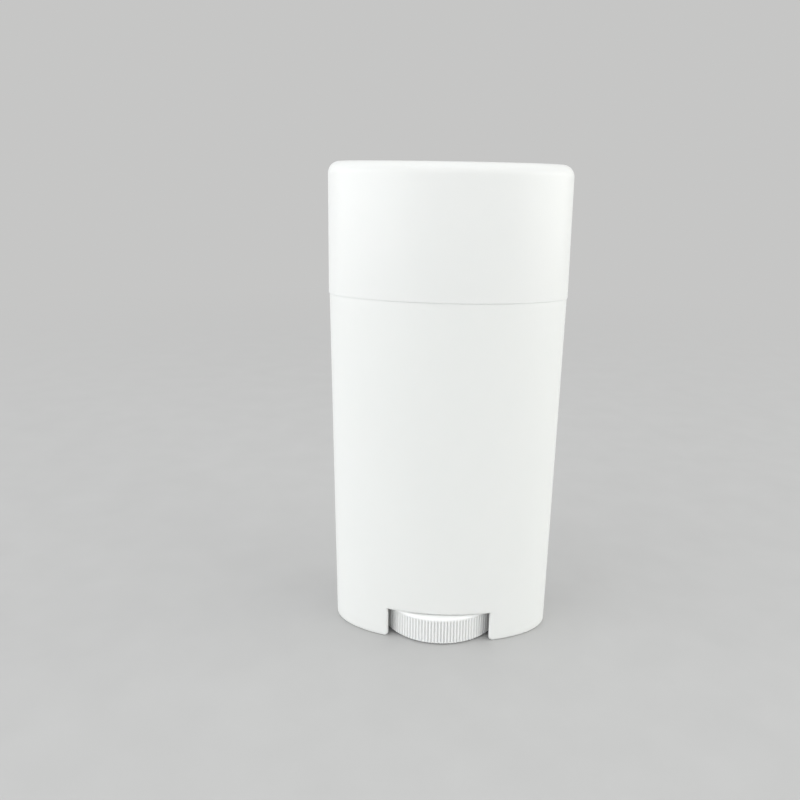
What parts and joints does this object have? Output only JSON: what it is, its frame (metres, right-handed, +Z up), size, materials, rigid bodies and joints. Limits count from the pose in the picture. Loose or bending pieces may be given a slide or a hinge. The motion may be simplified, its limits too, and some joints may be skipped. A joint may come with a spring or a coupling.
{
  "type": "oval deodorant container",
  "caption": "Tall oval twist-up stick container: a pull-off overcap on a tapered barrel, with a ribbed hand wheel in a base notch that screws an elevator cup up the bore.",
  "frame": {"origin": "centre of the oval base, in the plane on which the container stands", "axes": "+Z up along the screw, +X along the oval's long axis, +Y along its short axis, with a notch and the wheel's face on both the -Y and +Y sides"},
  "size_m": [0.0618, 0.0338, 0.1257],
  "materials": {
    "overcap": "satin moulded polypropylene",
    "barrel": "satin moulded polypropylene",
    "hand_wheel": "satin moulded polypropylene",
    "elevator": "satin moulded polypropylene"
  },
  "bodies": {
    "barrel": {"barrel": "barrel"},
    "overcap": {"overcap": "overcap"},
    "hand_wheel": {"hand_wheel": "hand_wheel"},
    "elevator": {"elevator": "elevator"}
  },
  "joints": [
    {"name": "cap_pull", "type": "slide", "parent": "barrel", "child": "overcap", "axis": [0, 0, 1], "range_m": [0, 0.045]},
    {"name": "wheel_turn", "type": "hinge", "parent": "barrel", "child": "hand_wheel", "pos_m": [0, 0, 0.004], "axis": [0, 0, -1], "range_deg": [0, 7560]},
    {"name": "elevator_rise", "type": "slide", "parent": "barrel", "child": "elevator", "axis": [0, 0, 1], "range_m": [0, 0.0841]}
  ],
  "couplings": [
    {"joint": "elevator_rise", "follows": "wheel_turn", "m_per_rad": 0.00063662}
  ]
}
